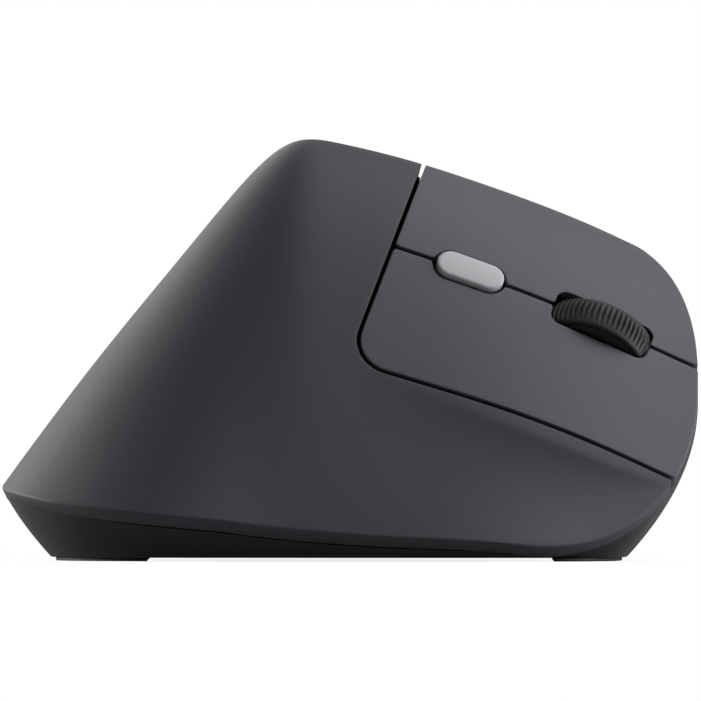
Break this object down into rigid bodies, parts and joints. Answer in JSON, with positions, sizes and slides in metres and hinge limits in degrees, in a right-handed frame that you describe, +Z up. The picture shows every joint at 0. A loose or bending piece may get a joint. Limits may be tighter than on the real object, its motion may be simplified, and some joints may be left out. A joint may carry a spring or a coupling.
{
  "type": "vertical ergonomic mouse",
  "caption": "Cordless upright computer mouse for the right hand: a leaning finger face with two keys, ribbed scroll wheel and speed button, a thumb rest with side buttons, and a flared base.",
  "frame": {"origin": "on the desk under the middle of the mouse's bounding box", "axes": "+Z up, +Y towards the nose where the fingertips lie, +X towards the finger side"},
  "size_m": [0.0746, 0.1192, 0.0722],
  "materials": {
    "shell": "fine matte moulded plastic, dark grey",
    "keys": "fine matte moulded plastic, dark grey",
    "base": "matte black moulded plastic",
    "speed_cap": "satin light grey plastic",
    "rubber": "matt ribbed rubber",
    "frame_plastic": "moulded black plastic",
    "board": "solder resist",
    "chip": "moulded black plastic",
    "plunger": "moulded red plastic",
    "steel": "plain steel",
    "lens": "clear moulded plastic",
    "ribbon": "flexible flat cable",
    "cell_wrap": "printed sleeve, plain",
    "pads": "low friction plastic"
  },
  "bodies": {
    "case": {"main_shell": "shell", "thumb_cover": "shell", "base_case": "base", "key_pivot_pin": "steel", "inner_frame": "frame_plastic", "key_board": "board", "left_switch": "chip", "right_switch": "chip", "wheel_switch": "chip", "speed_switch": "chip", "side_board": "board", "side_switches": "chip", "main_board": "board", "sensor_chip": "chip", "sensor_lens": "lens", "board_ribbon": "ribbon", "cell": "cell_wrap", "cell_contact_front": "steel", "cell_contact_rear": "steel", "power_switch": "steel", "glide_pads": "pads", "case_screws": "steel", "frame_screws": "steel"},
    "left_key": {"left_key_cover": "keys", "left_key_lever": "frame_plastic"},
    "right_key": {"right_key_cover": "keys", "right_key_lever": "frame_plastic"},
    "left_plunger": {"left_switch_plunger": "plunger"},
    "right_plunger": {"right_switch_plunger": "plunger"},
    "wheel_carrier": {"wheel_cradle": "frame_plastic", "wheel_encoder": "chip", "wheel_switch_plunger": "plunger"},
    "wheel": {"wheel_hub": "frame_plastic", "wheel_tyre": "rubber"},
    "speed_key": {"speed_button": "speed_cap", "speed_switch_plunger": "plunger"},
    "forward_key": {"forward_button": "keys", "forward_plunger": "plunger"},
    "back_key": {"back_button": "keys", "back_plunger": "plunger"},
    "power_slider": {"power_knob": "rubber"},
    "door": {"cell_door": "base"},
    "receiver": {"usb_receiver": "steel"}
  },
  "joints": [
    {"name": "left_click", "type": "hinge", "parent": "case", "child": "left_key", "pos_m": [0.00162, 0.00921, 0.04694], "axis": [-0.6428, 0.2745, 0.7152], "range_deg": [0, 0.9], "stiffness_Nm_per_rad": 0.6, "springref_deg": -1.72},
    {"name": "right_click", "type": "hinge", "parent": "case", "child": "right_key", "pos_m": [0.00162, 0.00921, 0.04694], "axis": [-0.6428, 0.2745, 0.7152], "range_deg": [0, 0.9], "stiffness_Nm_per_rad": 0.6, "springref_deg": -1.72},
    {"name": "left_switch_press", "type": "slide", "parent": "case", "child": "left_plunger", "axis": [-0.766, -0.2304, -0.6001], "range_m": [0, 0.000419]},
    {"name": "right_switch_press", "type": "slide", "parent": "case", "child": "right_plunger", "axis": [-0.766, -0.2304, -0.6001], "range_m": [0, 0.000419]},
    {"name": "wheel_click", "type": "slide", "parent": "case", "child": "wheel_carrier", "axis": [-0.766, -0.2304, -0.6001], "range_m": [0, 0.0005], "stiffness_N_per_m": 600, "springref_m": -0.001},
    {"name": "wheel_spin", "type": "hinge", "parent": "wheel_carrier", "child": "wheel", "pos_m": [0.00277, 0.04129, 0.03566], "axis": [0.6428, -0.2745, -0.7152], "continuous": true},
    {"name": "speed_click", "type": "slide", "parent": "case", "child": "speed_key", "axis": [-0.766, -0.2304, -0.6001], "range_m": [0, 0.0005], "stiffness_N_per_m": 600, "springref_m": -0.0005},
    {"name": "forward_click", "type": "slide", "parent": "case", "child": "forward_key", "axis": [0.9976, -0.025, -0.0651], "range_m": [0, 0.0004], "stiffness_N_per_m": 600, "springref_m": -0.0005},
    {"name": "back_click", "type": "slide", "parent": "case", "child": "back_key", "axis": [0.9976, -0.025, -0.0651], "range_m": [0, 0.0004], "stiffness_N_per_m": 600, "springref_m": -0.0005},
    {"name": "power_slide", "type": "slide", "parent": "case", "child": "power_slider", "axis": [0, 1, 0], "range_m": [0, 0.0025]},
    {"name": "door_swing", "type": "hinge", "parent": "case", "child": "door", "pos_m": [-0.006, 0.0123, 0.0016], "axis": [1, 0, 0], "range_deg": [0, 80]},
    {"name": "receiver_pull", "type": "slide", "parent": "case", "child": "receiver", "axis": [0, 0, -1], "range_m": [0, 0.022]}
  ],
  "couplings": [
    {"joint": "left_switch_press", "follows": "left_click", "m_per_rad": 0.0266},
    {"joint": "right_switch_press", "follows": "right_click", "m_per_rad": 0.0266}
  ]
}
